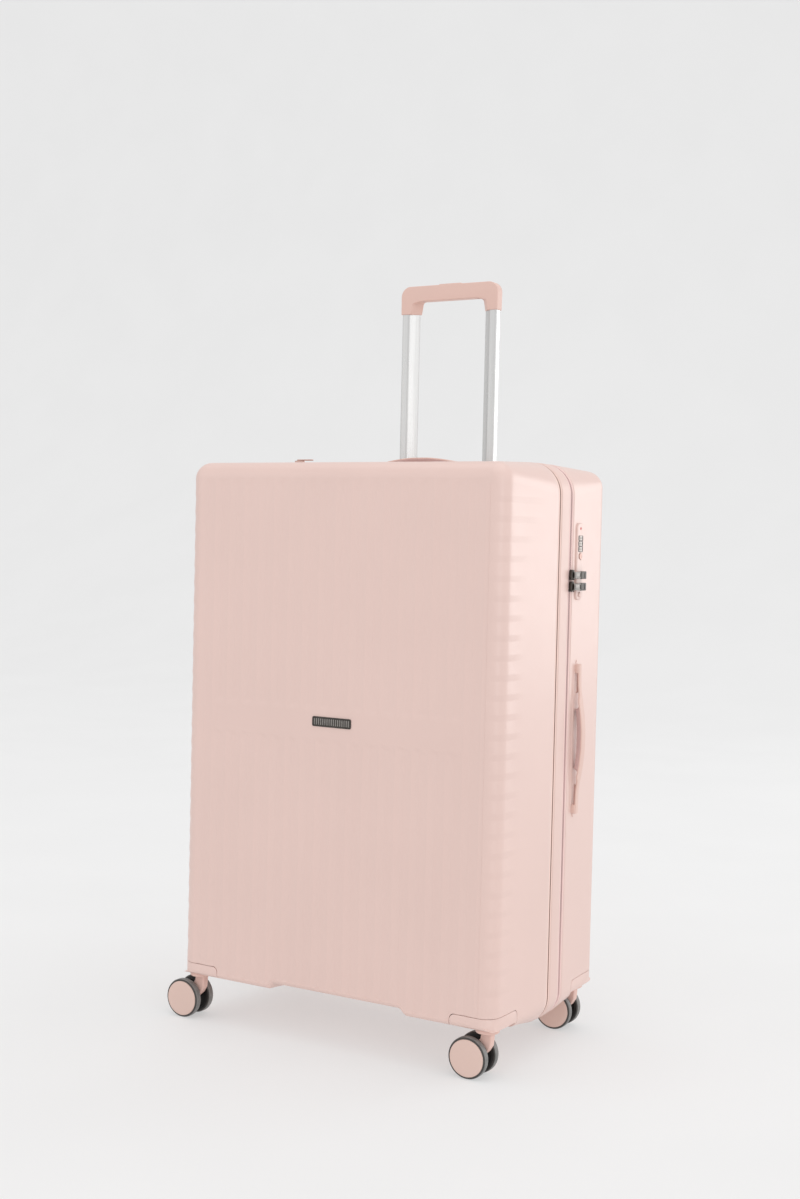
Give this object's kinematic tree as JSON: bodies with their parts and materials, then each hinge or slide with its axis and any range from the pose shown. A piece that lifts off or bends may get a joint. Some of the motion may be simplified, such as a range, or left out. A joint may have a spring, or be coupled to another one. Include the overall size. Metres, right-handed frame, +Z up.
{
  "type": "hard shell suitcase",
  "caption": "Tall ribbed hard shell trolley case with twin spinner wheels, a telescopic handle, two zips, two carry handles and a side dial lock.",
  "frame": {"origin": "on the floor, under the middle of the case", "axes": "+Z up, +Y towards the back of the case where the telescopic handle is, +X towards the side with the lock"},
  "size_m": [0.5206, 0.3022, 1.02],
  "materials": {
    "shell": "satin blush polypropylene, lightly textured",
    "trim": "satin blush plastic, a shade darker",
    "zip_tape": "woven polyester zip tape with coil",
    "lining": "woven polyester lining",
    "mesh": "knitted mesh",
    "webbing": "polyester webbing",
    "hardware": "gunmetal die casting",
    "tube": "anodised extrusion",
    "steel": "zinc plated",
    "hub": "blush wheel cap",
    "tyre": "soft polyurethane",
    "inner_plastic": "black moulding",
    "dial": "dark number wheel"
  },
  "bodies": {
    "back_case": {"back_shell": "shell", "back_lining": "lining", "main_zip_rear": "zip_tape", "lock_body": "shell", "carry_handle_mounts": "trim", "trolley_bezel": "trim", "trolley_outer_tubes": "tube", "trolley_foot_bracket": "inner_plastic", "packing_straps": "webbing", "rear_wheel_housings": "shell", "rear_kingpins": "steel", "rear_swivel_bearings": "steel", "back_shell_screws": "steel", "hinge_tape": "zip_tape"},
    "rim_frame": {"rim_band": "shell", "main_zip_front": "zip_tape", "expansion_zip_rear": "zip_tape", "expansion_gusset": "zip_tape"},
    "front_case": {"front_shell": "shell", "front_lining": "lining", "mesh_pocket": "mesh", "expansion_zip_front": "zip_tape", "front_wheel_housings": "shell", "front_kingpins": "steel", "front_swivel_bearings": "steel", "badge_plate": "hardware", "front_shell_screws": "steel"},
    "trolley": {"trolley_inner_tubes": "tube", "trolley_grip": "trim", "trolley_lock_blocks": "inner_plastic"},
    "trolley_release": {"trolley_button": "trim", "trolley_release_yoke": "inner_plastic"},
    "top_handle": {"top_handle_bar": "trim"},
    "side_handle": {"side_handle_bar": "trim"},
    "dial_1": {"lock_dial_1": "dial"},
    "dial_2": {"lock_dial_2": "dial"},
    "dial_3": {"lock_dial_3": "dial"},
    "key": {"key_cylinder": "hardware"},
    "release_button": {"lock_release_button": "hardware"},
    "upper_zip": {"upper_slider": "hardware"},
    "upper_pull": {"upper_pull_tab": "hardware"},
    "lower_zip": {"lower_slider": "hardware"},
    "lower_pull": {"lower_pull_tab": "hardware"},
    "expansion_zip": {"expansion_slider": "hardware"},
    "front_left_caster": {"front_left_fork": "trim"},
    "front_left_wheels": {"front_left_axle": "steel", "front_left_hubs": "hub", "front_left_tyres": "tyre"},
    "front_right_caster": {"front_right_fork": "trim"},
    "front_right_wheels": {"front_right_axle": "steel", "front_right_hubs": "hub", "front_right_tyres": "tyre"},
    "rear_left_caster": {"rear_left_fork": "trim"},
    "rear_left_wheels": {"rear_left_axle": "steel", "rear_left_hubs": "hub", "rear_left_tyres": "tyre"},
    "rear_right_caster": {"rear_right_fork": "trim"},
    "rear_right_wheels": {"rear_right_axle": "steel", "rear_right_hubs": "hub", "rear_right_tyres": "tyre"}
  },
  "joints": [
    {"name": "lid_hinge", "type": "hinge", "parent": "back_case", "child": "rim_frame", "pos_m": [-0.245, 0.03, 0.4], "axis": [0, 0, -1], "range_deg": [0, 180], "deforming": ["hinge_tape"]},
    {"name": "expansion", "type": "slide", "parent": "rim_frame", "child": "front_case", "axis": [0, -1, 0], "range_m": [0, 0.04], "deforming": ["expansion_gusset"]},
    {"name": "trolley_slide", "type": "slide", "parent": "back_case", "child": "trolley", "axis": [0, 0, 1], "range_m": [-0.26, 0]},
    {"name": "trolley_button_press", "type": "slide", "parent": "trolley", "child": "trolley_release", "axis": [0, 0, 1], "range_m": [-0.003, 0], "stiffness_N_per_m": 800, "springref_m": 0.003},
    {"name": "top_handle_pull", "type": "slide", "parent": "back_case", "child": "top_handle", "axis": [0, 0, 1], "range_m": [0, 0.015], "stiffness_N_per_m": 300, "springref_m": -0.003},
    {"name": "side_handle_pull", "type": "slide", "parent": "back_case", "child": "side_handle", "axis": [1, 0, 0], "range_m": [0, 0.015], "stiffness_N_per_m": 300, "springref_m": -0.003},
    {"name": "dial_1_turn", "type": "hinge", "parent": "back_case", "child": "dial_1", "pos_m": [0.2392, 0.0545, 0.65], "axis": [0, 0, 1], "continuous": true},
    {"name": "dial_2_turn", "type": "hinge", "parent": "back_case", "child": "dial_2", "pos_m": [0.2392, 0.0545, 0.6572], "axis": [0, 0, 1], "continuous": true},
    {"name": "dial_3_turn", "type": "hinge", "parent": "back_case", "child": "dial_3", "pos_m": [0.2392, 0.0545, 0.6644], "axis": [0, 0, 1], "continuous": true},
    {"name": "key_turn", "type": "hinge", "parent": "back_case", "child": "key", "pos_m": [0.24, 0.0545, 0.641], "axis": [1, 0, 0], "range_deg": [0, 90]},
    {"name": "release_button_press", "type": "slide", "parent": "back_case", "child": "release_button", "axis": [-1, 0, 0], "range_m": [0, 0.003], "stiffness_N_per_m": 300, "springref_m": -0.002},
    {"name": "upper_zip_slide", "type": "slide", "parent": "back_case", "child": "upper_zip", "axis": [0, 0, 1], "range_m": [0, 0.08]},
    {"name": "upper_pull_swing", "type": "hinge", "parent": "upper_zip", "child": "upper_pull", "pos_m": [0.249, 0.03, 0.6165], "axis": [0, 0, -1], "range_deg": [0, 160]},
    {"name": "lower_zip_slide", "type": "slide", "parent": "back_case", "child": "lower_zip", "axis": [0, 0, 1], "range_m": [-0.08, 0]},
    {"name": "lower_pull_swing", "type": "hinge", "parent": "lower_zip", "child": "lower_pull", "pos_m": [0.249, 0.03, 0.6015], "axis": [0, 0, -1], "range_deg": [0, 160]},
    {"name": "expansion_zip_slide", "type": "slide", "parent": "rim_frame", "child": "expansion_zip", "axis": [1, 0, 0], "range_m": [0, 0.32]},
    {"name": "front_left_swivel", "type": "hinge", "parent": "front_case", "child": "front_left_caster", "pos_m": [-0.2205, -0.128, 0.06], "axis": [0, 0, 1], "continuous": true},
    {"name": "front_left_roll", "type": "hinge", "parent": "front_left_caster", "child": "front_left_wheels", "pos_m": [-0.2391, -0.128, 0.026], "axis": [0, 1, 0], "continuous": true},
    {"name": "front_right_swivel", "type": "hinge", "parent": "front_case", "child": "front_right_caster", "pos_m": [0.2205, -0.128, 0.06], "axis": [0, 0, 1], "continuous": true},
    {"name": "front_right_roll", "type": "hinge", "parent": "front_right_caster", "child": "front_right_wheels", "pos_m": [0.2019, -0.128, 0.026], "axis": [0, 1, 0], "continuous": true},
    {"name": "rear_left_swivel", "type": "hinge", "parent": "back_case", "child": "rear_left_caster", "pos_m": [-0.2205, 0.115, 0.06], "axis": [0, 0, 1], "continuous": true},
    {"name": "rear_left_roll", "type": "hinge", "parent": "rear_left_caster", "child": "rear_left_wheels", "pos_m": [-0.2391, 0.115, 0.026], "axis": [0, 1, 0], "continuous": true},
    {"name": "rear_right_swivel", "type": "hinge", "parent": "back_case", "child": "rear_right_caster", "pos_m": [0.2205, 0.115, 0.06], "axis": [0, 0, 1], "continuous": true},
    {"name": "rear_right_roll", "type": "hinge", "parent": "rear_right_caster", "child": "rear_right_wheels", "pos_m": [0.2019, 0.115, 0.026], "axis": [0, 1, 0], "continuous": true}
  ]
}
